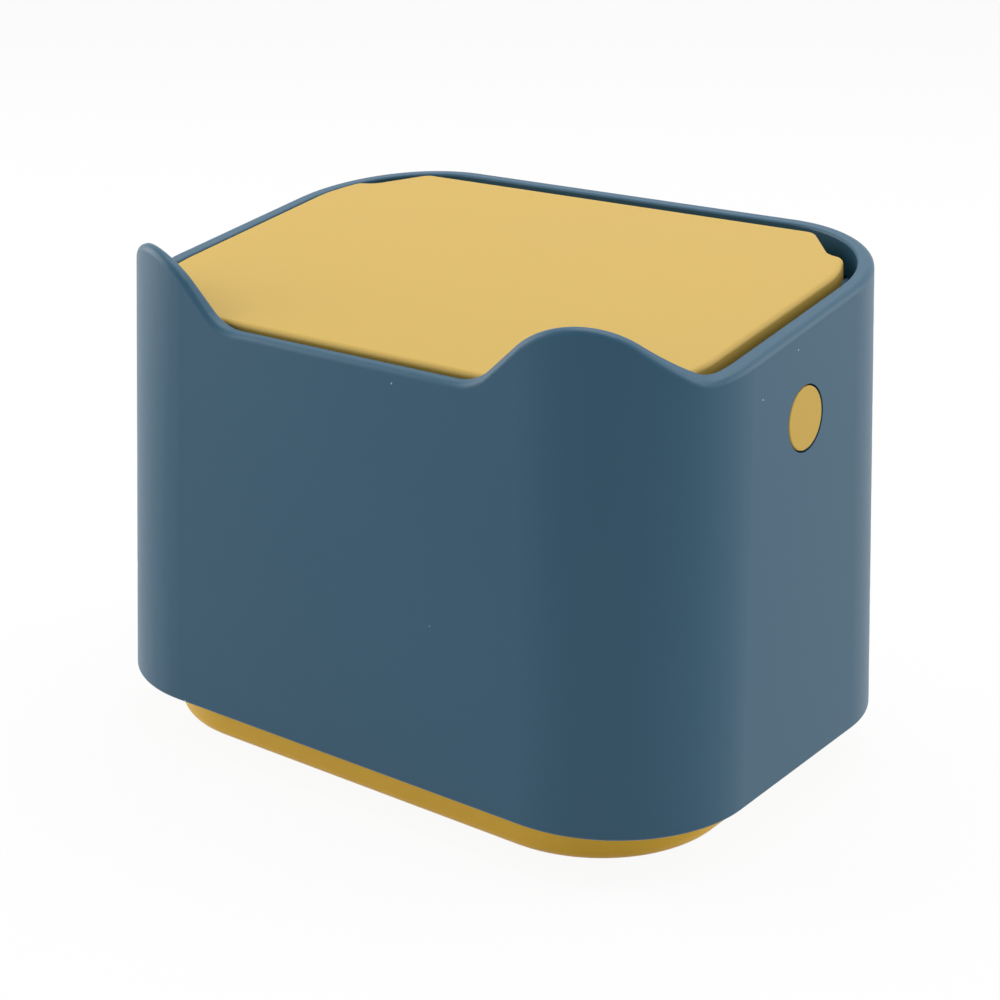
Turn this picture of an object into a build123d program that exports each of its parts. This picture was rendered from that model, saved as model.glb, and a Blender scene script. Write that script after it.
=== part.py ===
from build123d import *
from math import atan2, cos, degrees, hypot, pi, radians, sin, sqrt, tan
import os

# Litter bin with a press-button lid: a blue shell with two ears stands on posts over a yellow inner bucket.
# Lengths are millimetres. +X points to the button side, -Y to the front with the ears, +Z up, ground at 0.

# Outer shell
shell_gap_ground = 14.5
shell_height = 125.7
shell_draft = 4.9
foot_corner = 42.2
rim_width = 200.0
rim_depth = 136.6
rim_corner = 41.7
rim_slant = 9.03
wall = 2.6
side_rim = 5.0
front_rim = 3.1
rim_ring_height = 9.0
shell_top_round = 1.8
mouth_round = 0.8
shell_foot_round = 0.8

# Ears on the front corners
ear_height = 17.8
ear_inset_x = 26.1
ear_inset_y = 3.0
ear_turn = 25.0
ear_foot_in = 28.1
ear_foot_out = 29.9
ear_slope_in = 43.5
ear_slope_out = 39.7
ear_foot_round_in = 14.0
ear_foot_round_out = 8.0

# Inner bucket
bucket_inset_side = 11.7
bucket_inset_front = 9.3
bucket_foot_corner = 39.0
bucket_gap_side = 2.2
bucket_gap_front = 0.6
bucket_rim_corner = 41.0
bucket_rim_drop = 52.2
bucket_wall = 2.4
bucket_floor = 2.8
bucket_round = 4.0
foot_pad_radius = 7.0
foot_pad_thickness = 1.6
foot_pad_proud = 0.7
foot_pad_inset_x = 27.2
foot_pad_inset_y = 25.9

# Posts in the shell that stand on the bucket rim and carry the frame
post_radius = 5.0
post_inset_x = 19.2
post_inset_front = 17.3
post_inset_back = 22.3
post_web = 3.0
post_web_reach = 16.0

# Frame under the lid
frame_clearance = 0.3
deck_drop = 9.0
deck_thickness = 2.5
throat_inset_left = 20.0
throat_inset_right = 34.0
throat_inset_front = 18.3
throat_inset_back = 34.3
throat_corner = 12.0
hinge_slot_side = 4.5
hinge_slot_front = 6.5
hinge_slot_wide_side = 1.0
hinge_slot_wide_back = 2.0

# Lid
lid_gap_side = 3.2
lid_gap_front = 0.9
lid_gap_back = 6.6
lid_front_corner = 34.0
lid_back_in = 21.3
lid_notch_in = 9.8
lid_notch_drop = 13.4
lid_corner_in = 4.3
lid_corner_drop = 14.9
lid_side_drop = 25.5
lid_side_round = 30.0
lid_notch_round = 3.5
lid_notch_hollow = 8.0
lid_back_corner = 5.0
lid_proud = 1.3
lid_skin = 2.2
lid_skirt_drop = 5.5
lid_edge_round = 1.4
liner_clearance = 0.3
liner_drop = 5.3
liner_thickness = 2.0
liner_boss_radius = 3.4
lid_screw_x = 62.0
lid_screw_front = -40.0
lid_screw_back = 24.0
seal_width = 4.0
seal_gap = 0.3
seal_margin = 3.0
seal_corner = 22.0

# Lid hinge, measured along the slope of the rim
hinge_inset = 8.5
hinge_drop = 4.0
hinge_eye_radius = 2.6
hinge_pin_radius = 1.2
hinge_fit = 0.05
tower_inner = 38.0
tower_thickness = 3.0
tower_back = 2.45
tower_back_rise = 0.8
tower_neck = 2.4
tower_neck_rise = 1.0
tower_knee = 5.5
tower_knee_drop = 2.2
tower_root_back = 5.0
tower_root_front = 11.0
tower_root_top = 8.0
arm_width = 8.6
arm_gap = 0.5
hinge_clear_front = 6.0
hinge_side_gap = 0.7
pin_head_radius = 2.0
pin_head = 1.0
pin_tail = 9.5
hinge_wire = 0.8
hinge_coil_radius = 2.2
hinge_coil_pitch = 1.25
hinge_coil_turns = 5.5
hinge_leg = 3.5
hinge_coil_gap = 0.8

# Push button
button_radius = 8.7
button_gap = 0.45
button_below_rim = 25.3
button_flange_radius = 10.4
button_flange = 1.9
button_edge_round = 0.5
button_seat_gap = 0.3
button_travel = 2.0
stem_radius = 3.0
stem_fit = 0.05
stem_gap = 0.3

# Latch lever, its bracket and its spring
lever_pivot_drop = 18.0
lever_inset = 19.0
lever_thickness = 3.0
lever_half_width = 7.2
lever_eye_radius = 3.4
lever_pin_radius = 1.5
lever_fit = 0.05
lever_top_above = 9.0
nose_reach = 1.6
nose_root = 1.6
nose_tip = 0.7
catch_above = 7.1
catch_gap = 0.2
catch_lip = 1.0
catch_engage = 1.1
striker_thickness = 3.0
striker_half_width = 5.0
striker_gap = 0.4
bracket_plate = 1.7
bracket_cheek = 2.0
bracket_cheek_gap = 0.8
bracket_back_gap = 12.0
bracket_bottom_drop = 23.0
bracket_flange = 8.5
bracket_flange_length = 10.0
bracket_flange_thickness = 2.4
latch_wire = 0.7
latch_coil_radius = 3.0
latch_coil_turns = 4.0
latch_coil_gap = 0.4
latch_slot_front = 11.0
latch_slot_back = 7.5
latch_slot_margin = 1.3

# Screws
screw_radius = 1.4
screw_head_radius = 2.7
screw_head = 1.1
screw_fit = 0.05
frame_screw_length = 9.0

os.makedirs("parts", exist_ok=True)

# Planes and heights worked out from the sizes above
slant = radians(rim_slant)
rim_mid_z = shell_gap_ground + shell_height
foot_width = rim_width + 2 * shell_draft
foot_depth = rim_depth + 2 * shell_draft
flare = shell_draft / shell_height
form_top_z = rim_mid_z + rim_depth / 2 * tan(slant) + ear_height
button_z = rim_mid_z - button_below_rim
lever_x = rim_width / 2 - lever_inset
lever_pivot_z = button_z - lever_pivot_drop
bracket_back_x = lever_x - bracket_back_gap
mouth_width = rim_width - 2 * side_rim
mouth_depth = rim_depth - side_rim - front_rim
mouth_corner = rim_corner - side_rim
mouth_y = (front_rim - side_rim) / 2
ear_x = rim_width / 2 - ear_inset_x
ear_y = ear_inset_y - rim_depth / 2
post_x = rim_width / 2 - post_inset_x
post_front_y = post_inset_front - rim_depth / 2
post_back_y = rim_depth / 2 - post_inset_back
throat_left = throat_inset_left - rim_width / 2
throat_right = rim_width / 2 - throat_inset_right
throat_front = throat_inset_front - rim_depth / 2
throat_back = rim_depth / 2 - throat_inset_back
lid_half_width = mouth_width / 2 - lid_gap_side
lid_front = (rim_depth / 2 - front_rim) / cos(slant) - lid_gap_front
lid_back = (rim_depth / 2 - side_rim) / cos(slant) - lid_gap_back
hinge_v = lid_back - hinge_inset
bucket_rim_z = rim_mid_z - bucket_rim_drop
bucket_foot_width = foot_width - 2 * bucket_inset_side
bucket_foot_depth = foot_depth - 2 * bucket_inset_front
foot_pad_x = bucket_foot_width / 2 - foot_pad_inset_x
foot_pad_y = bucket_foot_depth / 2 - foot_pad_inset_y
rim_up = Vector(0, -sin(slant), cos(slant))
rim_back = Vector(0, cos(slant), sin(slant))
post_places = [(side * post_x, y) for side in (1, -1) for y in (post_front_y, post_back_y)]
foot_places = [(i * foot_pad_x, j * foot_pad_y) for i in (1, -1) for j in (1, -1)]
lid_screw_places = [(x, v) for x in (-lid_screw_x, 0, lid_screw_x) for v in (lid_screw_front, lid_screw_back)]


def rim_plane(offset=0.0):
    """Plane parallel to the slanted rim, offset along its normal."""
    return Plane(
        origin=Vector(0, 0, rim_mid_z) + rim_up * offset, x_dir=(1, 0, 0), z_dir=rim_up
    )


def on_slope(x, v, offset):
    """Point at x, v along the slope and offset along the rim's normal."""
    return rim_plane(offset).from_local_coords(Vector(x, v, 0))


def shell_section(z, inset=0.0):
    """Width, depth and corner radius of the drafted shell at a height."""
    rise = (z - shell_gap_ground) / shell_height
    grow = inset + flare * (z - shell_gap_ground)
    corner = foot_corner + (rim_corner - foot_corner) * rise
    return foot_width - 2 * grow, foot_depth - 2 * grow, corner - inset


def shell_face_x(z):
    """X of the shell's outer side face at a height."""
    return shell_section(z)[0] / 2


bucket_rim_width = shell_section(bucket_rim_z, wall)[0] - 2 * bucket_gap_side
bucket_rim_depth = shell_section(bucket_rim_z, wall)[1] - 2 * bucket_gap_front


def outline_gap(point, width, depth, corner, middle_y=0.0):
    """Distance of a point from the outline of a rounded rectangle, below zero inside it."""
    dx = abs(point.X) - width / 2 + corner
    dy = abs(point.Y - middle_y) - depth / 2 + corner
    if min(dx, dy) > 0:
        return hypot(dx, dy) - corner
    return max(dx, dy) - corner


def on_rim(edge):
    """Whether an edge lies on the rim or on the ears above it."""
    return rim_plane().to_local_coords(edge.center()).Z > -0.05


def on_outer_rim(edge):
    """Whether an edge lies on the rim and on the shell's outer face."""
    middle = edge @ 0.5
    return on_rim(edge) and abs(outline_gap(middle, *shell_section(middle.Z))) < 0.05


def on_mouth_rim(edge):
    """Whether an edge lies on the rim and on the wall of the mouth."""
    gap = outline_gap(edge @ 0.5, mouth_width, mouth_depth, mouth_corner, mouth_y)
    return on_rim(edge) and abs(gap) < 0.05


def slope_v(y, offset):
    """Distance along the slope of a point given by its level y and its offset."""
    return (y + offset * sin(slant)) / cos(slant)


def slope_plane(x, y, offset):
    """Plane parallel to the rim through the point over x, y at an offset."""
    return Plane(origin=on_slope(x, slope_v(y, offset), offset), x_dir=(1, 0, 0), z_dir=rim_up)


def axis_plane(x, side=1):
    """Plane square to the hinge axis at x, its first direction up the slope."""
    return Plane(origin=axis_point(x), x_dir=rim_back, z_dir=(side, 0, 0))


def axis_point(x):
    """Point on the lid's hinge axis."""
    return on_slope(x, hinge_v, -hinge_drop)


def biarc(start, start_dir, end, end_dir):
    """Two tangent arcs between two points with given directions, added to the open line."""
    span = end - start
    both = start_dir + end_dir
    a = 4 - both.dot(both)
    b = 2 * span.dot(both)
    reach = (-b + sqrt(b * b + 4 * a * span.dot(span))) / (2 * a)
    first = start + start_dir * reach
    second = end - end_dir * reach
    middle = (first + second) * 0.5
    TangentArc(start, middle, tangent=start_dir)
    TangentArc(middle, end, tangent=(second - first).normalized())


def coil_frame(plane, radius, pitch, angle):
    """Point and direction on a helix that climbs along the plane's normal."""
    point = Vector(radius * cos(angle), radius * sin(angle), pitch * angle / (2 * pi))
    heading = Vector(-radius * sin(angle), radius * cos(angle), pitch / (2 * pi)).normalized()
    return plane.from_local_coords(point), plane.from_local_coords(heading) - plane.origin


def coil_gap(radius, pitch, turns, wire):
    """Least gap of a coiled wire to itself, measured on points a turn or more apart."""
    steps = 36
    points = [
        Vector(radius * cos(2 * pi * k / steps), radius * sin(2 * pi * k / steps), pitch * k / steps)
        for k in range(int(turns * steps) + 1)
    ]
    apart = [
        (points[i] - points[j]).length
        for i in range(len(points))
        for j in range(i + steps // 2, len(points))
    ]
    return min(apart) - wire


def coil(plane, radius, pitch, turns, wire, leg_start, leg_end, phase=0.0):
    """One unbroken coiled wire with a straight leg on each end, on a helix of quarter turns."""
    quarters = int(turns * 4)
    marks = [coil_frame(plane, radius, pitch, phase + pi / 2 * k) for k in range(quarters + 1)]
    lift = plane.z_dir * (pitch * phase / (2 * pi))
    marks = [(point - lift, heading) for point, heading in marks]
    with BuildPart() as wound:
        with BuildLine() as path:
            Line(marks[0][0] - marks[0][1] * leg_start, marks[0][0])
            for near, far in zip(marks, marks[1:]):
                biarc(near[0], near[1], far[0], far[1])
            Line(marks[-1][0], marks[-1][0] + marks[-1][1] * leg_end)
        with BuildSketch(Plane(origin=path.line @ 0, z_dir=path.line % 0)):
            Circle(wire / 2)
        sweep(path=path.line)
    return wound.part


# The ear's sides meet in a point that a dome rounds down to its height
rise_in = tan(radians(ear_slope_in))
rise_out = tan(radians(ear_slope_out))
ear_tip_u = (rise_out * ear_foot_out - rise_in * ear_foot_in) / (rise_in + rise_out)
ear_tip = (ear_tip_u, rise_in * (ear_tip_u + ear_foot_in))
ear_half_angle = radians(180 - ear_slope_in - ear_slope_out) / 2
ear_dome = (ear_tip[1] - ear_height) / (1 / sin(ear_half_angle) - 1)

# Shell form: the drafted outside, before it is hollowed and cut to the rim
with BuildPart() as shell_form:
    for level in (shell_gap_ground, form_top_z):
        width, depth, corner = shell_section(level)
        with BuildSketch(Plane.XY.offset(level)):
            RectangleRounded(width, depth, corner)
    loft(ruled=True)

# Cavity of the shell below the thick rim ring
with BuildPart() as shell_cavity:
    for level in (shell_gap_ground, form_top_z):
        width, depth, corner = shell_section(level, wall)
        with BuildSketch(Plane.XY.offset(level)):
            RectangleRounded(width, depth, corner)
    loft(ruled=True)
    split(bisect_by=rim_plane(-rim_ring_height), keep=Keep.BOTTOM)

# Waste above the rim, with the two ears spared
with BuildPart() as rim_waste:
    with BuildSketch(rim_plane()):
        Rectangle(2 * foot_width, 2 * foot_depth)
    extrude(amount=3 * ear_height)
    for side in (1, -1):
        turn = radians(ear_turn)
        across = Vector(side * cos(turn), sin(turn) * cos(slant), sin(turn) * sin(slant))
        outward = across.cross(rim_up) * side
        foot = Vector(side * ear_x, ear_y, rim_mid_z + ear_y * tan(slant))
        with BuildSketch(Plane(origin=foot, x_dir=across * side, z_dir=outward)):
            with BuildLine() as ear_line:
                FilletPolyline(
                    (-side * 2 * ear_foot_in, 0),
                    (-side * ear_foot_in, 0),
                    (side * ear_tip[0], ear_tip[1]),
                    (side * ear_foot_out, 0),
                    (side * 2 * ear_foot_out, 0),
                    radius=[ear_foot_round_in, ear_dome, ear_foot_round_out],
                )
                Polyline(
                    ear_line.line @ 1,
                    (side * 2 * ear_foot_out, -ear_height),
                    (-side * 2 * ear_foot_in, -ear_height),
                    ear_line.line @ 0,
                )
            make_face()
        extrude(amount=rim_corner, both=True, mode=Mode.SUBTRACT)

# Four posts inside the shell, each with a web to its corner
with BuildPart() as shell_posts:
    with BuildSketch(Plane.XY.offset(bucket_rim_z)):
        for x, y in post_places:
            with Locations((x, y)):
                Circle(post_radius)
            with Locations(Location((x, y), degrees(atan2(y, x)))):
                Rectangle(post_web_reach, post_web, align=(Align.MIN, Align.CENTER))
    extrude(amount=form_top_z - bucket_rim_z)
    split(bisect_by=rim_plane(-deck_drop - deck_thickness), keep=Keep.BOTTOM)
    add(shell_form.part, mode=Mode.INTERSECT)
    for x, y in post_places:
        with BuildSketch(slope_plane(x, y, -deck_drop).offset(-deck_thickness)):
            Circle(screw_radius + screw_fit)
        extrude(amount=-frame_screw_length, mode=Mode.SUBTRACT)

# Outer shell
with BuildPart() as outer_shell:
    add(shell_form.part)
    add(shell_cavity.part, mode=Mode.SUBTRACT)
    add(rim_waste.part, mode=Mode.SUBTRACT)
    fillet(outer_shell.edges().filter_by(on_outer_rim), shell_top_round)
    with BuildSketch(Plane.XY.offset(shell_gap_ground)):
        with Locations((0, mouth_y)):
            RectangleRounded(mouth_width, mouth_depth, mouth_corner)
    extrude(amount=form_top_z, mode=Mode.SUBTRACT)
    fillet(outer_shell.edges().filter_by(on_mouth_rim), mouth_round)
    add(shell_posts.part)
    with BuildSketch(Plane.YZ.offset(shell_face_x(button_z) - 2 * wall)):
        with Locations((0, button_z)):
            Circle(button_radius + button_gap)
    extrude(amount=4 * wall, mode=Mode.SUBTRACT)
    foot_edges = outer_shell.edges().filter_by_position(Axis.Z, shell_gap_ground, shell_gap_ground)
    fillet(foot_edges, shell_foot_round)
outer_shell.part.label = "outer_shell"
export_step(outer_shell.part, "parts/outer_shell.step")

# Inner bucket, with four pockets for its feet
with BuildPart() as bucket_hollow:
    with BuildSketch(Plane.XY.offset(foot_pad_proud + bucket_floor)):
        RectangleRounded(
            bucket_foot_width - 2 * bucket_wall,
            bucket_foot_depth - 2 * bucket_wall,
            bucket_foot_corner - bucket_wall,
        )
    with BuildSketch(Plane.XY.offset(bucket_rim_z)):
        RectangleRounded(
            bucket_rim_width - 2 * bucket_wall,
            bucket_rim_depth - 2 * bucket_wall,
            bucket_rim_corner - bucket_wall,
        )
    loft(ruled=True)
    fillet(bucket_hollow.faces().sort_by(Axis.Z)[0].edges(), bucket_round - bucket_wall)

with BuildPart() as inner_bucket:
    with BuildSketch(Plane.XY.offset(foot_pad_proud)):
        RectangleRounded(bucket_foot_width, bucket_foot_depth, bucket_foot_corner)
    with BuildSketch(Plane.XY.offset(bucket_rim_z)):
        RectangleRounded(bucket_rim_width, bucket_rim_depth, bucket_rim_corner)
    loft(ruled=True)
    fillet(inner_bucket.faces().sort_by(Axis.Z)[0].edges(), bucket_round)
    add(bucket_hollow.part, mode=Mode.SUBTRACT)
    with BuildSketch(Plane.XY):
        with Locations(foot_places):
            Circle(foot_pad_radius)
    extrude(amount=foot_pad_thickness, mode=Mode.SUBTRACT)
inner_bucket.part.label = "inner_bucket"
export_step(inner_bucket.part, "parts/inner_bucket.step")

# Rubber feet
with BuildPart() as bucket_feet:
    with BuildSketch(Plane.XY):
        with Locations(foot_places):
            Circle(foot_pad_radius)
    extrude(amount=foot_pad_thickness)
bucket_feet.part.label = "bucket_feet"
export_step(bucket_feet.part, "parts/bucket_feet.step")

# Throat of the frame, through which litter drops
throat_width = throat_right - throat_left
throat_depth = throat_back - throat_front
throat_middle = ((throat_right + throat_left) / 2, (throat_back + throat_front) / 2)

# Outer end of the latch: the nose stops short of the striker's face
nose_x = lever_x + lever_thickness / 2 + nose_reach
striker_x = nose_x + striker_gap
catch_z = button_z + catch_above
tower_outer = tower_inner + tower_thickness + 2 * arm_gap + arm_width
arm_x = tower_inner + tower_thickness + arm_gap
pin_head_x = tower_inner - pin_head
hinge_clear_x = tower_outer + tower_thickness + pin_tail + hinge_side_gap
bracket_outer_x = striker_x + striker_thickness + bracket_cheek_gap + bracket_plate
cheek_inner = lever_half_width + bracket_cheek_gap
bracket_screw_y = cheek_inner + bracket_cheek + bracket_flange / 2
bracket_screw_x = (bracket_back_x + bracket_outer_x) / 2

# Frame under the lid, with hinge towers and the slot for the striker
with BuildPart() as top_frame:
    with BuildSketch(Plane.XY):
        with Locations((0, mouth_y)):
            RectangleRounded(
                mouth_width - 2 * frame_clearance,
                mouth_depth - 2 * frame_clearance,
                mouth_corner - frame_clearance,
            )
    extrude(amount=form_top_z)
    split(bisect_by=rim_plane(-deck_drop), keep=Keep.BOTTOM)
    split(bisect_by=rim_plane(-deck_drop - deck_thickness), keep=Keep.TOP)
    with BuildSketch(Plane.XY):
        with Locations(throat_middle):
            RectangleRounded(throat_width, throat_depth, throat_corner)
    extrude(amount=form_top_z, mode=Mode.SUBTRACT)
    with BuildSketch(rim_plane(-deck_drop)):
        for half, front in (
            (lid_half_width - lid_back_in + hinge_slot_side, hinge_v - hinge_slot_front),
            (lid_half_width - lid_notch_in + hinge_slot_wide_side, hinge_v + hinge_slot_wide_back),
        ):
            with Locations((0, front)):
                Rectangle(2 * half, rim_depth / 2, align=(Align.CENTER, Align.MIN))
    extrude(amount=-2 * deck_thickness, mode=Mode.SUBTRACT)
    with BuildSketch(Plane.XY):
        with Locations((nose_x - catch_engage - latch_slot_margin, -latch_slot_front)):
            Rectangle(
                striker_thickness + striker_gap + catch_engage + 2 * latch_slot_margin,
                latch_slot_front + latch_slot_back,
                align=(Align.MIN, Align.MIN),
            )
    extrude(amount=form_top_z, mode=Mode.SUBTRACT)
    for side in (1, -1):
        for inner in (tower_inner, tower_outer):
            with BuildSketch(axis_plane(side * inner)):
                Circle(hinge_eye_radius)
                with BuildLine():
                    Polyline(
                        (-tower_neck, tower_neck_rise),
                        (-tower_knee, -tower_knee_drop),
                        (-tower_root_top, hinge_drop - deck_drop),
                        (-tower_root_front, hinge_drop - deck_drop),
                        (-tower_root_front, hinge_drop - deck_drop - deck_thickness),
                        (-tower_root_back, hinge_drop - deck_drop - deck_thickness),
                        (tower_back_rise, -tower_back),
                        close=True,
                    )
                make_face()
            extrude(amount=side * tower_thickness)
            with BuildSketch(axis_plane(side * inner)):
                Circle(hinge_pin_radius)
            extrude(amount=side * tower_thickness, mode=Mode.SUBTRACT)
    for x, y in post_places:
        with BuildSketch(slope_plane(x, y, -deck_drop)):
            Circle(screw_radius + screw_fit)
        extrude(amount=-2 * deck_thickness, mode=Mode.SUBTRACT)
        with BuildSketch(slope_plane(x, y, -deck_drop)):
            Circle(screw_head_radius + screw_fit)
        extrude(amount=-screw_head, mode=Mode.SUBTRACT)
top_frame.part.label = "top_frame"
export_step(top_frame.part, "parts/top_frame.step")

# Screws that hold the frame on the posts
with BuildPart() as frame_screws:
    for x, y in post_places:
        with BuildSketch(slope_plane(x, y, -deck_drop).offset(-screw_head)):
            Circle(screw_head_radius)
        extrude(amount=screw_head)
        with BuildSketch(slope_plane(x, y, -deck_drop)):
            Circle(screw_radius)
        extrude(amount=-frame_screw_length - screw_head)
frame_screws.part.label = "frame_screws"
export_step(frame_screws.part, "parts/frame_screws.step")


def lid_outline(inset):
    """Face of the lid's outline, drawn in by an inset."""
    corners = [
        (lid_half_width, -lid_front),
        (lid_half_width, lid_back - lid_side_drop),
        (lid_half_width - lid_corner_in, lid_back - lid_corner_drop),
        (lid_half_width - lid_notch_in, lid_back - lid_notch_drop),
        (lid_half_width - lid_back_in, lid_back),
    ]
    rounds = [lid_front_corner, lid_side_round, lid_notch_round, lid_notch_hollow, lid_back_corner]
    mirrored = [(-x, v) for x, v in reversed(corners)]
    with BuildSketch(Plane.XY) as outline:
        with BuildLine():
            FilletPolyline(corners + mirrored, radius=rounds + rounds[::-1], close=True)
        make_face()
        if inset:
            offset(amount=-inset)
    return outline.sketch


# Lid cover: a thin skin with a short skirt and screw bosses
with BuildPart() as lid_cover:
    with BuildSketch(rim_plane(-lid_skirt_drop)):
        add(lid_outline(0))
    extrude(amount=lid_skirt_drop + lid_proud)
    fillet(lid_cover.faces().sort_by(Axis.Z)[-1].edges(), lid_edge_round)
    with BuildSketch(rim_plane(-lid_skirt_drop)):
        add(lid_outline(lid_skin))
    extrude(amount=lid_skirt_drop + lid_proud - lid_skin, mode=Mode.SUBTRACT)
    with BuildSketch(rim_plane(liner_thickness - liner_drop)):
        with Locations(lid_screw_places):
            Circle(liner_boss_radius)
            Circle(screw_radius + screw_fit, mode=Mode.SUBTRACT)
    extrude(amount=liner_drop - liner_thickness + lid_proud - lid_skin)
lid_cover.part.label = "lid_cover"
export_step(lid_cover.part, "parts/lid_cover.step")

# Lid liner: the plate inside the lid, with the hinge arms and the striker
with BuildPart() as lid_liner:
    with BuildSketch(rim_plane(-liner_drop)):
        add(lid_outline(lid_skin + liner_clearance))
    extrude(amount=liner_thickness)
    for side in (1, -1):
        with BuildSketch(rim_plane(-liner_drop)):
            for near, far in ((pin_head_x - hinge_side_gap, arm_x), (arm_x + arm_width, hinge_clear_x)):
                with Locations((side * (near + far) / 2, hinge_v - hinge_clear_front)):
                    Rectangle(far - near, lid_back, align=(Align.CENTER, Align.MIN))
        extrude(amount=liner_thickness, mode=Mode.SUBTRACT)
        with BuildSketch(axis_plane(side * arm_x)):
            Circle(hinge_eye_radius)
        extrude(amount=side * arm_width)
        with BuildSketch(axis_plane(side * arm_x)):
            Circle(hinge_pin_radius + hinge_fit)
        extrude(amount=side * arm_width, mode=Mode.SUBTRACT)
    with BuildSketch(Plane.XY.offset(catch_z - catch_gap - catch_lip)):
        with Locations((striker_x, 0)):
            Rectangle(
                striker_thickness, 2 * striker_half_width, align=(Align.MIN, Align.CENTER)
            )
    extrude(until=Until.NEXT)
    with BuildSketch(Plane.XY.offset(catch_z - catch_gap - catch_lip)):
        with Locations((nose_x - catch_engage, 0)):
            Rectangle(
                striker_gap + catch_engage, 2 * striker_half_width, align=(Align.MIN, Align.CENTER)
            )
    extrude(amount=catch_lip)
    for x, v in lid_screw_places:
        with BuildSketch(Plane(origin=on_slope(x, v, -liner_drop), x_dir=(1, 0, 0), z_dir=rim_up)):
            Circle(screw_radius + screw_fit)
        extrude(amount=liner_thickness, mode=Mode.SUBTRACT)
        with BuildSketch(Plane(origin=on_slope(x, v, -liner_drop), x_dir=(1, 0, 0), z_dir=rim_up)):
            Circle(screw_head_radius + screw_fit)
        extrude(amount=screw_head, mode=Mode.SUBTRACT)
lid_liner.part.label = "lid_liner"
export_step(lid_liner.part, "parts/lid_liner.step")

# Screws that hold the liner in the lid
lid_screw_length = liner_drop + lid_proud - lid_skin - screw_head
with BuildPart() as lid_screws:
    with BuildSketch(rim_plane(-liner_drop)):
        with Locations(lid_screw_places):
            Circle(screw_head_radius)
    extrude(amount=screw_head)
    with BuildSketch(rim_plane(-liner_drop)):
        with Locations(lid_screw_places):
            Circle(screw_radius)
    extrude(amount=lid_screw_length)
lid_screws.part.label = "lid_screws"
export_step(lid_screws.part, "parts/lid_screws.step")

# Soft seal under the lid, around the throat
with BuildPart() as lid_seal:
    with BuildSketch(rim_plane(-deck_drop + seal_gap)):
        front_v = slope_v(throat_front, -deck_drop) - seal_margin
        back_v = slope_v(throat_back, -deck_drop) + seal_margin
        with Locations((throat_middle[0], (front_v + back_v) / 2)):
            for grow, mode in ((seal_width, Mode.ADD), (0, Mode.SUBTRACT)):
                RectangleRounded(
                    throat_width + 2 * (seal_margin + grow),
                    back_v - front_v + 2 * grow,
                    seal_corner + grow,
                    mode=mode,
                )
    extrude(amount=deck_drop - seal_gap - liner_drop)
lid_seal.part.label = "lid_seal"
export_step(lid_seal.part, "parts/lid_seal.step")

# Hinge pins and their torsion springs
print("hinge spring gap", round(coil_gap(hinge_coil_radius, hinge_coil_pitch, hinge_coil_turns, hinge_wire), 3))
for side, name in ((1, "right"), (-1, "left")):
    with BuildPart() as hinge_pin:
        with BuildSketch(axis_plane(side * pin_head_x)):
            Circle(pin_head_radius)
        extrude(amount=side * pin_head)
        with BuildSketch(axis_plane(side * tower_inner)):
            Circle(hinge_pin_radius)
        extrude(amount=side * (tower_outer + tower_thickness + pin_tail - tower_inner))
    hinge_pin.part.label = "hinge_pin_" + name
    export_step(hinge_pin.part, "parts/hinge_pin_" + name + ".step")
    hinge_spring = coil(
        axis_plane(side * (tower_outer + tower_thickness + hinge_coil_gap), side),
        hinge_coil_radius,
        hinge_coil_pitch,
        hinge_coil_turns,
        hinge_wire,
        hinge_leg,
        hinge_leg,
        phase=-pi / 2,
    )
    hinge_spring.label = "hinge_spring_" + name
    export_step(hinge_spring, "parts/hinge_spring_" + name + ".step")

# Push button: a round cap trimmed to the shell's face, a flange behind the wall and a stem
flange_x = shell_face_x(button_z + button_flange_radius) - wall - button_seat_gap
stem_end_x = lever_x + lever_thickness / 2 + stem_gap
with BuildPart() as button_cap:
    with BuildSketch(Plane.YZ.offset(flange_x - button_flange)):
        with Locations((0, button_z)):
            Circle(button_radius)
    extrude(amount=foot_width / 2)
    add(shell_form.part, mode=Mode.INTERSECT)
    fillet(button_cap.faces().sort_by(Axis.X)[-1].edges(), button_edge_round)
    with BuildSketch(Plane.YZ.offset(flange_x - button_flange)):
        with Locations((0, button_z)):
            Circle(button_flange_radius)
    extrude(amount=button_flange)
    with BuildSketch(Plane.YZ.offset(flange_x)):
        with Locations((0, button_z)):
            Circle(stem_radius)
    extrude(amount=-(flange_x - stem_end_x))
    fillet(button_cap.faces().sort_by(Axis.X)[0].edges(), stem_radius * 0.9)
button_cap.part.label = "button_cap"
export_step(button_cap.part, "parts/button_cap.step")

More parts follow.
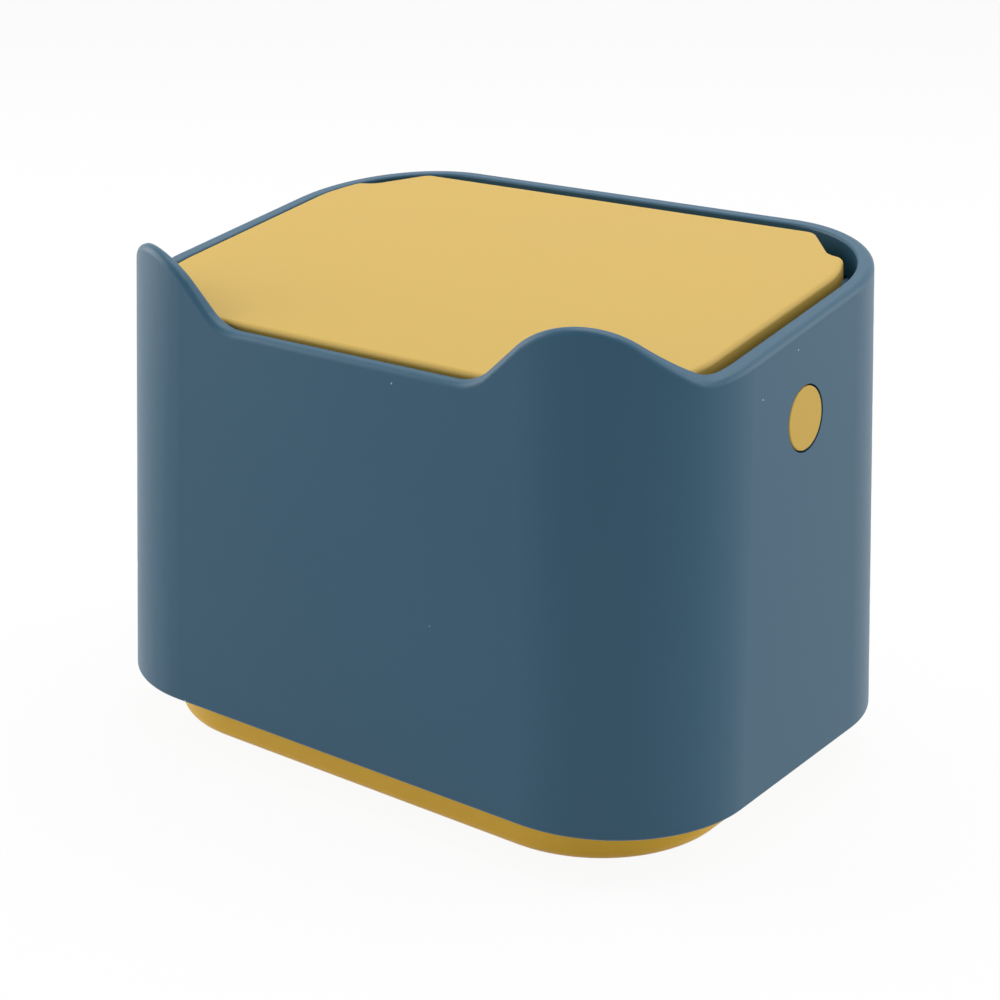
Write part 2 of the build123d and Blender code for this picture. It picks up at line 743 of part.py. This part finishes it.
# Latch bracket under the frame, open at the bottom
bracket_length = bracket_outer_x - bracket_back_x
with BuildPart() as latch_bracket:
    with BuildSketch(Plane.XY.offset(button_z - bracket_bottom_drop)):
        with Locations((bracket_back_x, 0)):
            Rectangle(
                bracket_length, 2 * (cheek_inner + bracket_cheek), align=(Align.MIN, Align.CENTER)
            )
        with Locations((bracket_back_x + bracket_plate, 0)):
            Rectangle(
                bracket_length - 2 * bracket_plate,
                2 * cheek_inner,
                align=(Align.MIN, Align.CENTER),
                mode=Mode.SUBTRACT,
            )
    extrude(amount=form_top_z)
    split(bisect_by=rim_plane(-deck_drop - deck_thickness), keep=Keep.BOTTOM)
    for side in (1, -1):
        with BuildSketch(slope_plane(bracket_screw_x, side * bracket_screw_y, -deck_drop - deck_thickness)):
            Rectangle(bracket_flange_length, bracket_flange + bracket_cheek)
        extrude(amount=-bracket_flange_thickness)
        with BuildSketch(slope_plane(bracket_screw_x, side * bracket_screw_y, -deck_drop - deck_thickness)):
            Circle(screw_radius + screw_fit)
        extrude(amount=-2 * bracket_flange_thickness, mode=Mode.SUBTRACT)
    with BuildSketch(Plane.YZ.offset(bracket_outer_x - 2 * bracket_plate)):
        with Locations((0, button_z)):
            Circle(stem_radius + stem_fit)
    extrude(amount=4 * bracket_plate, mode=Mode.SUBTRACT)
    with BuildSketch(Plane.XZ):
        with Locations((lever_x, lever_pivot_z)):
            Circle(lever_pin_radius)
    extrude(amount=2 * cheek_inner, both=True, mode=Mode.SUBTRACT)
latch_bracket.part.label = "latch_bracket"
export_step(latch_bracket.part, "parts/latch_bracket.step")

# Screws that hold the bracket under the frame
with BuildPart() as bracket_screws:
    for side in (1, -1):
        under = slope_plane(bracket_screw_x, side * bracket_screw_y, -deck_drop - deck_thickness)
        seat = under.offset(-bracket_flange_thickness)
        with BuildSketch(seat):
            Circle(screw_radius)
        extrude(amount=bracket_flange_thickness)
        with BuildSketch(seat):
            Circle(screw_head_radius)
        extrude(amount=-screw_head)
bracket_screws.part.label = "bracket_screws"
export_step(bracket_screws.part, "parts/bracket_screws.step")

# Latch lever: a flat plate with a hook nose above and a pivot eye below
with BuildPart() as latch_lever:
    with BuildSketch(Plane.XZ):
        with Locations((lever_x, lever_pivot_z)):
            Circle(lever_eye_radius)
            Rectangle(
                lever_thickness,
                button_z + lever_top_above - lever_pivot_z,
                align=(Align.CENTER, Align.MIN),
            )
        with BuildLine():
            Polyline(
                (lever_x, catch_z),
                (nose_x, catch_z),
                (nose_x, catch_z + nose_tip),
                (lever_x + lever_thickness / 2, catch_z + nose_root),
                (lever_x, catch_z + nose_root),
                close=True,
            )
        make_face()
        with Locations((lever_x, lever_pivot_z)):
            Circle(lever_pin_radius + lever_fit, mode=Mode.SUBTRACT)
    extrude(amount=lever_half_width, both=True)
latch_lever.part.label = "latch_lever"
export_step(latch_lever.part, "parts/latch_lever.step")

with BuildPart() as lever_pin:
    with BuildSketch(Plane.XZ):
        with Locations((lever_x, lever_pivot_z)):
            Circle(lever_pin_radius)
    extrude(amount=cheek_inner + bracket_cheek, both=True)
lever_pin.part.label = "lever_pin"
export_step(lever_pin.part, "parts/lever_pin.step")

# Latch spring between the bracket's back plate and the lever
latch_start_x = bracket_back_x + bracket_plate + latch_coil_gap + latch_wire / 2
latch_end_x = lever_x - lever_thickness / 2 - latch_coil_gap - latch_wire / 2
latch_pitch = (latch_end_x - latch_start_x) / latch_coil_turns
print("latch spring gap", round(coil_gap(latch_coil_radius, latch_pitch, latch_coil_turns, latch_wire), 3))
latch_spring = coil(
    Plane(origin=(latch_start_x, 0, button_z), x_dir=(0, 1, 0), z_dir=(1, 0, 0)),
    latch_coil_radius,
    latch_pitch,
    latch_coil_turns,
    latch_wire,
    latch_wire,
    latch_wire,
)
latch_spring.label = "latch_spring"
export_step(latch_spring, "parts/latch_spring.step")
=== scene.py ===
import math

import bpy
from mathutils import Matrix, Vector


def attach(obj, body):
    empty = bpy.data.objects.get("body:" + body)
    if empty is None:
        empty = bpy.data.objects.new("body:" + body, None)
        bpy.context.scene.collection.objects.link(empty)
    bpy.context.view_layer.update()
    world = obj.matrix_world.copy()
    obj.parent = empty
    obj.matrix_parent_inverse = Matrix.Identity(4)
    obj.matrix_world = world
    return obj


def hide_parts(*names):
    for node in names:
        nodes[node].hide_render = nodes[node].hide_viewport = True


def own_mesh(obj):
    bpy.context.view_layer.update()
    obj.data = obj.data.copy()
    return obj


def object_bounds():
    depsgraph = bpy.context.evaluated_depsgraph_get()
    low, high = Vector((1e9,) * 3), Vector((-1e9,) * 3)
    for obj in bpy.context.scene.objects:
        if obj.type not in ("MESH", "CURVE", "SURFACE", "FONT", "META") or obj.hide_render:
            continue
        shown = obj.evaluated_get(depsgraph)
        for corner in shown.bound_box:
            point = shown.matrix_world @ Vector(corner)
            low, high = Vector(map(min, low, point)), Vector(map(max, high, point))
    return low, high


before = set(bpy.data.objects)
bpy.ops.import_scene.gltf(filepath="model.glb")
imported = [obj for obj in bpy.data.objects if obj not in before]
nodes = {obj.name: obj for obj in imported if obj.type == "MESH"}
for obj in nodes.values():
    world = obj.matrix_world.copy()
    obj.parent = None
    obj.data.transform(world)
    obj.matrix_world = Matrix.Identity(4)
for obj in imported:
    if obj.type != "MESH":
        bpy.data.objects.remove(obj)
cad_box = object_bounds()

# %% [markdown]
# # A litter bin with a press-button lid
# The bin is moulded plastic: a blue shell with two ears over a yellow bucket, and a yellow lid that
# springs open when the side button is pressed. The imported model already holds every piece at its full
# size, so this lesson gives each piece a finish like the real one's, then builds the studio around it.
# How it looks inside is a guess, because the photograph shows only the outside.

scene = bpy.context.scene
bpy.ops.object.select_all(action="DESELECT")
low, high = cad_box
print("The bin measures", [round((b - a) * 1000, 1) for a, b in zip(low, high)], "mm")

# %% [markdown]
# ## The camera
# At the size this bin is given, the photograph was taken from a little over half a metre away, with a
# short telephoto lens, so the near corner looks larger than the far one. Its position, turn and lens were
# fitted to the outline of the bin. A camera in Blender looks along its own -Z, so its three axes are
# worked out from the azimuth, elevation and roll.

# %% Camera
CAMERA_AT = Vector((0.3421, -0.4529, 0.2743))
CAMERA_AZIMUTH = math.radians(36.96)
CAMERA_ELEVATION = math.radians(19.78)
CAMERA_ROLL = math.radians(0.18)
LENS_MM = 73.36
SENSOR_MM = 36.0


def camera_axes(azimuth, elevation, roll):
    """Right, up and back of a camera that looks at the bin from an azimuth and elevation."""
    back = Vector((
        math.sin(azimuth) * math.cos(elevation),
        -math.cos(azimuth) * math.cos(elevation),
        math.sin(elevation),
    ))
    right = Vector((math.cos(azimuth), math.sin(azimuth), 0))
    up = back.cross(right)
    rolled_right = right * math.cos(roll) + up * math.sin(roll)
    rolled_up = up * math.cos(roll) - right * math.sin(roll)
    return rolled_right, rolled_up, back


bpy.ops.object.camera_add()
camera = bpy.context.object
camera.name = "studio_camera"
axes = Matrix(camera_axes(CAMERA_AZIMUTH, CAMERA_ELEVATION, CAMERA_ROLL)).transposed()
camera.matrix_world = Matrix.Translation(CAMERA_AT) @ axes.to_4x4()
camera.data.sensor_width = SENSOR_MM
camera.data.lens = LENS_MM
scene.camera = camera
print("Camera at", tuple(round(c, 3) for c in CAMERA_AT))

# %% [markdown]
# ## Colours and nodes
# Colours are written as sRGB hex, as a paint chart gives them, and turned to the linear values that the
# renderer works in. One small function adds a node to a material with its settings and its links.


# %% Helpers for materials
def linear(hex_colour):
    """Linear RGBA of an sRGB hex colour."""
    channels = [int(hex_colour[i : i + 2], 16) / 255 for i in (1, 3, 5)]
    return [c / 12.92 if c <= 0.04045 else ((c + 0.055) / 1.055) ** 2.4 for c in channels] + [1.0]


def add_node(material, kind, links=None, **settings):
    """Adds a node: settings name its inputs or properties, links feed its inputs from other outputs."""
    tree = material.node_tree
    node = tree.nodes.new(kind)
    for name, value in settings.items():
        socket = name.replace("_", " ")
        if hasattr(node, name):
            setattr(node, name, value)
        else:
            node.inputs[socket].default_value = value
    for name, output in (links or {}).items():
        tree.links.new(output, node.inputs[name])
    return node


def new_material(name):
    """An empty material and its Principled shader."""
    material = bpy.data.materials.new(name)
    material.use_nodes = True
    shader = material.node_tree.nodes["Principled BSDF"]
    return material, shader


def set_sockets(shader, **values):
    """Sets plain values on a shader's own sockets."""
    for name, value in values.items():
        shader.inputs[name.replace("_", " ")].default_value = value


MM = 0.001


# %% [markdown]
# ## Moulded plastic
# The shell, bucket, lid and button are injection-moulded polypropylene. The mould is spark-eroded, which
# leaves a very fine grain: the plastic is satin, with wide soft highlights that brighten at grazing
# angles. The grain is taken as 0.1 mm on the real bin. It is drawn at 0.35 mm here, because finer grain
# would not show. The tint drifts a little over 60 mm, as plastic that flowed in a mould does, and the
# shell can carry specks of dust. The bucket, lid and button are one mustard plastic, with light and shade
# painted into each copy. The bucket shows only in shade and came out dull with the button's mustard, so
# it has a lighter, stronger one, which is painted light. The button and lid are toned a little darker,
# which is painted shade, for the lamps that fall on them.


# %% Moulded plastic
FLOW_MM = 60
DUST_SPACING_MM = 14
DUST_REACH = 0.018
PLASTIC_IOR = 1.49
SATIN_SPREAD = 0.03


def moulded_plastic(
    name, colour, deep_colour, roughness, grain_mm=0.35, grain_depth_mm=0.004, specks=0.0, gloss=0.5
):
    """Satin moulded plastic: mould grain, faint flow shading and, where asked, specks of dust."""
    material, shader = new_material(name)
    place = add_node(material, "ShaderNodeTexCoord").outputs["Object"]
    flow = add_node(
        material, "ShaderNodeTexNoise", {"Vector": place}, Scale=1 / (FLOW_MM * MM), Detail=2.0, Roughness=0.4
    )
    tint = add_node(
        material, "ShaderNodeMix", {"Factor": flow.outputs["Fac"]}, data_type="RGBA", blend_type="MIX"
    )
    tint.inputs["A"].default_value = linear(deep_colour)
    tint.inputs["B"].default_value = linear(colour)
    surface = tint.outputs["Result"]
    if specks:
        dust = add_node(
            material, "ShaderNodeTexVoronoi", {"Vector": place}, Scale=1 / (DUST_SPACING_MM * MM)
        )
        near = add_node(
            material, "ShaderNodeMath", {0: dust.outputs["Distance"]}, operation="LESS_THAN"
        )
        near.inputs[1].default_value = DUST_REACH
        some = add_node(material, "ShaderNodeMath", {0: near.outputs[0]}, operation="MULTIPLY")
        some.inputs[1].default_value = specks
        dusted = add_node(
            material, "ShaderNodeMix", {"Factor": some.outputs[0], "A": surface}, data_type="RGBA"
        )
        dusted.inputs["B"].default_value = linear("#C9D3D8")
        surface = dusted.outputs["Result"]
    material.node_tree.links.new(surface, shader.inputs["Base Color"])
    grain = add_node(
        material, "ShaderNodeTexNoise", {"Vector": place}, Scale=1 / (grain_mm * MM), Detail=2.0
    )
    bump = add_node(
        material, "ShaderNodeBump", {"Height": grain.outputs["Fac"]}, Distance=grain_depth_mm * MM
    )
    material.node_tree.links.new(bump.outputs["Normal"], shader.inputs["Normal"])
    satin = add_node(
        material,
        "ShaderNodeMapRange",
        {"Value": flow.outputs["Fac"]},
        To_Min=roughness - SATIN_SPREAD,
        To_Max=roughness + SATIN_SPREAD,
    )
    material.node_tree.links.new(satin.outputs["Result"], shader.inputs["Roughness"])
    set_sockets(shader, IOR=PLASTIC_IOR, Specular_IOR_Level=gloss)
    return material


blue_shell = moulded_plastic(
    "moulded_polypropylene_petrol_blue", "#2C586F", "#29556F", 0.40, specks=0.7, gloss=0.35
)
blue_inner = moulded_plastic("moulded_polypropylene_deep_blue", "#274F63", "#244C61", 0.5, gloss=0.35)
# Painted light: the bucket's mustard is lighter than the button's and lid's, to make up for the shade it
# stands in.
mustard = moulded_plastic("moulded_polypropylene_mustard", "#F0C03C", "#ECBB38", 0.45, gloss=0.35)
# Painted shade: the button's and the lid's mustards are toned a little darker for the lamps that fall on
# them.
mustard_button_painted_shade = moulded_plastic(
    "moulded_polypropylene_mustard_button", "#C9A43B", "#C5A037", 0.45, gloss=0.35
)
mustard_lid_painted_shade = moulded_plastic("moulded_polypropylene_mustard_lid", "#CAA84E", "#C7A54B", 0.5, gloss=0.4)
white_acetal = moulded_plastic("moulded_acetal_white", "#DADAD4", "#D4D4CE", 0.35)
print("Moulded plastics are ready")

# %% [markdown]
# ## Metal and rubber
# The pins and screws are zinc-plated steel with a faint turned grain, the springs are bright drawn wire,
# the feet are soft rubber and the seal is a closed-cell foam strip.


# %% Metal and rubber
STEEL_SPREAD = 0.08
RUBBER_IOR = 1.52
PORE_SHADE = 0.8


def plated_steel(name, colour, roughness, grain_mm):
    """Plated steel whose roughness varies with a fine grain."""
    material, shader = new_material(name)
    place = add_node(material, "ShaderNodeTexCoord").outputs["Object"]
    grain = add_node(
        material, "ShaderNodeTexNoise", {"Vector": place}, Scale=1 / (grain_mm * MM), Detail=3.0
    )
    worn = add_node(
        material,
        "ShaderNodeMapRange",
        {"Value": grain.outputs["Fac"]},
        To_Min=roughness - STEEL_SPREAD,
        To_Max=roughness + STEEL_SPREAD,
    )
    material.node_tree.links.new(worn.outputs["Result"], shader.inputs["Roughness"])
    set_sockets(shader, Base_Color=linear(colour), Metallic=1.0)
    return material


def soft_rubber(name, colour, roughness, pore_mm, pore_depth_mm):
    """Matt rubber or foam with small pores."""
    material, shader = new_material(name)
    place = add_node(material, "ShaderNodeTexCoord").outputs["Object"]
    pores = add_node(material, "ShaderNodeTexVoronoi", {"Vector": place}, Scale=1 / (pore_mm * MM))
    bump = add_node(
        material, "ShaderNodeBump", {"Height": pores.outputs["Distance"]}, Distance=pore_depth_mm * MM
    )
    material.node_tree.links.new(bump.outputs["Normal"], shader.inputs["Normal"])
    shade = add_node(material, "ShaderNodeMix", {"Factor": pores.outputs["Distance"]}, data_type="RGBA")
    shade.inputs["A"].default_value = [c * PORE_SHADE for c in linear(colour)[:3]] + [1.0]
    shade.inputs["B"].default_value = linear(colour)
    material.node_tree.links.new(shade.outputs["Result"], shader.inputs["Base Color"])
    set_sockets(shader, Roughness=roughness, IOR=RUBBER_IOR)
    return material


zinc = plated_steel("zinc_plated_steel", "#B9BCC0", 0.35, 0.3)
wire = plated_steel("drawn_spring_wire", "#A8ABAF", 0.25, 0.15)
rubber = soft_rubber("soft_rubber_black", "#1E1F21", 0.7, 0.5, 0.02)
foam = soft_rubber("closed_cell_foam_grey", "#5C6064", 0.85, 0.7, 0.06)

# %% [markdown]
# ## Dressing the pieces
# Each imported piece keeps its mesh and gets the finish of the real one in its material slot.

# %% Materials on the pieces
FINISHES = {
    "outer_shell": blue_shell,
    "top_frame": blue_inner,
    "lid_liner": blue_inner,
    "lid_cover": mustard_lid_painted_shade,
    "inner_bucket": mustard,
    "button_cap": mustard_button_painted_shade,
    "latch_bracket": white_acetal,
    "latch_lever": white_acetal,
    "frame_screws": zinc,
    "bracket_screws": zinc,
    "lid_screws": zinc,
    "hinge_pin_left": zinc,
    "hinge_pin_right": zinc,
    "lever_pin": zinc,
    "hinge_spring_left": wire,
    "hinge_spring_right": wire,
    "latch_spring": wire,
    "bucket_feet": rubber,
    "lid_seal": foam,
}
for name, finish in FINISHES.items():
    piece = nodes[name]
    if not piece.material_slots:
        piece.data.materials.append(finish)
    for socket in piece.material_slots:
        socket.material = finish
print("Dressed", len(FINISHES), "of", len(nodes), "pieces")

# %% [markdown]
# ## The latch spring
# The latch spring sits between the lever and its bracket. When the button is pressed, the lever tilts 6.5
# degrees on its 18 mm arm and pushes the spring about 2 mm shorter. Wire that kept its length would go
# through the lever. Here a copy of the spring, with a mesh of its own, stands for the imported one and
# hangs from the shell. It shows only when the bin is taken apart.

# %% A copy of the latch spring
pressed_spring = nodes["latch_spring"].copy()
pressed_spring.data = nodes["latch_spring"].data.copy()
pressed_spring.name = "latch_spring_wire"
bpy.context.collection.objects.link(pressed_spring)
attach(pressed_spring, "shell")
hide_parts("latch_spring")
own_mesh(pressed_spring)

# %% [markdown]
# ## The floor
# The bin stands on a pale floor, which looks plain white, as in a catalogue picture. That white is a
# light that only the eye sees: a ray from the camera, from a reflection or through glass meets it, and
# the light that falls on the bin does not. A small share of the real floor is left in the mix, so the bin
# keeps a faint shadow.


# %% Floor
def seen_directly(owner):
    """The output that is 1 for camera, glossy and transmission rays in a material or world."""
    path = add_node(owner, "ShaderNodeLightPath")
    reflected = add_node(
        owner,
        "ShaderNodeMath",
        {0: path.outputs["Is Camera Ray"], 1: path.outputs["Is Glossy Ray"]},
        operation="MAXIMUM",
    )
    through = add_node(
        owner,
        "ShaderNodeMath",
        {0: reflected.outputs[0], 1: path.outputs["Is Transmission Ray"]},
        operation="MAXIMUM",
    )
    return through.outputs[0]


FLOOR_SIZE = 12.0
SHADOW_SHARE = 0.07
bpy.ops.mesh.primitive_plane_add(size=FLOOR_SIZE, location=(0, 0, 0))
floor = bpy.context.object
floor.name = "studio_floor"
floor_paint, floor_shader = new_material("studio_floor_white")
set_sockets(floor_shader, Base_Color=linear("#F2F2F2"), Roughness=0.9)
white = add_node(floor_paint, "ShaderNodeEmission", Color=(1, 1, 1, 1), Strength=1.0)
seen_white = add_node(floor_paint, "ShaderNodeMath", {0: seen_directly(floor_paint)}, operation="MULTIPLY")
seen_white.inputs[1].default_value = 1 - SHADOW_SHARE
blend = add_node(
    floor_paint,
    "ShaderNodeMixShader",
    {0: seen_white.outputs[0], 1: floor_shader.outputs[0], 2: white.outputs[0]},
)
output = floor_paint.node_tree.nodes["Material Output"]
floor_paint.node_tree.links.new(blend.outputs[0], output.inputs["Surface"])
floor.data.materials.append(floor_paint)
print("The floor keeps", SHADOW_SHARE, "of its own shade")

# %% [markdown]
# ## The world
# The world is white to the eye in the same way. The light that it gives the bin is dimmer, so that the
# lamps still shape the rounded corners.

# %% World
AMBIENT = 0.32
WHITE = (1, 1, 1, 1)
world = bpy.data.worlds.new("studio_world")
scene.world = world
world.use_nodes = True
sky = world.node_tree
dim = sky.nodes["Background"]
dim.inputs["Color"].default_value = WHITE
dim.inputs["Strength"].default_value = AMBIENT
bright = add_node(world, "ShaderNodeBackground", Color=WHITE, Strength=1.0)
either = add_node(
    world, "ShaderNodeMixShader", {0: seen_directly(world), 1: dim.outputs[0], 2: bright.outputs[0]}
)
sky.links.new(either.outputs[0], sky.nodes["World Output"].inputs["Surface"])
print("The world gives the bin", AMBIENT, "of full white")

# %% [markdown]
# ## The lamps
# Three wide softboxes stand around the bin. The left one lights the front, a weaker one on the right
# leaves the near corner darker, and the top one lights the lid. Wide lamps give the satin plastic its
# soft highlights.


# %% Lamps
def soft_lamp(name, place, target, width, height, watts):
    """A rectangular softbox at a place, turned to face a target."""
    bpy.ops.object.light_add(type="AREA", location=place)
    lamp = bpy.context.object
    lamp.name = name
    lamp.data.shape = "RECTANGLE"
    lamp.data.size = width
    lamp.data.size_y = height
    lamp.data.energy = watts
    facing = Vector(target) - Vector(place)
    lamp.rotation_euler = facing.to_track_quat("-Z", "Y").to_euler()
    return lamp


MIDDLE = (0, 0, 0.08)
soft_lamp("softbox_left", (-1.4, -0.5, 0.55), MIDDLE, 1.2, 1.4, 16)
soft_lamp("softbox_right", (1.2, 1.0, 0.55), MIDDLE, 1.2, 1.4, 12)
soft_lamp("softbox_top", (0.0, 0.3, 1.5), MIDDLE, 1.4, 1.4, 16)
scene.view_settings.view_transform = "Standard"
print("Three softboxes are set")
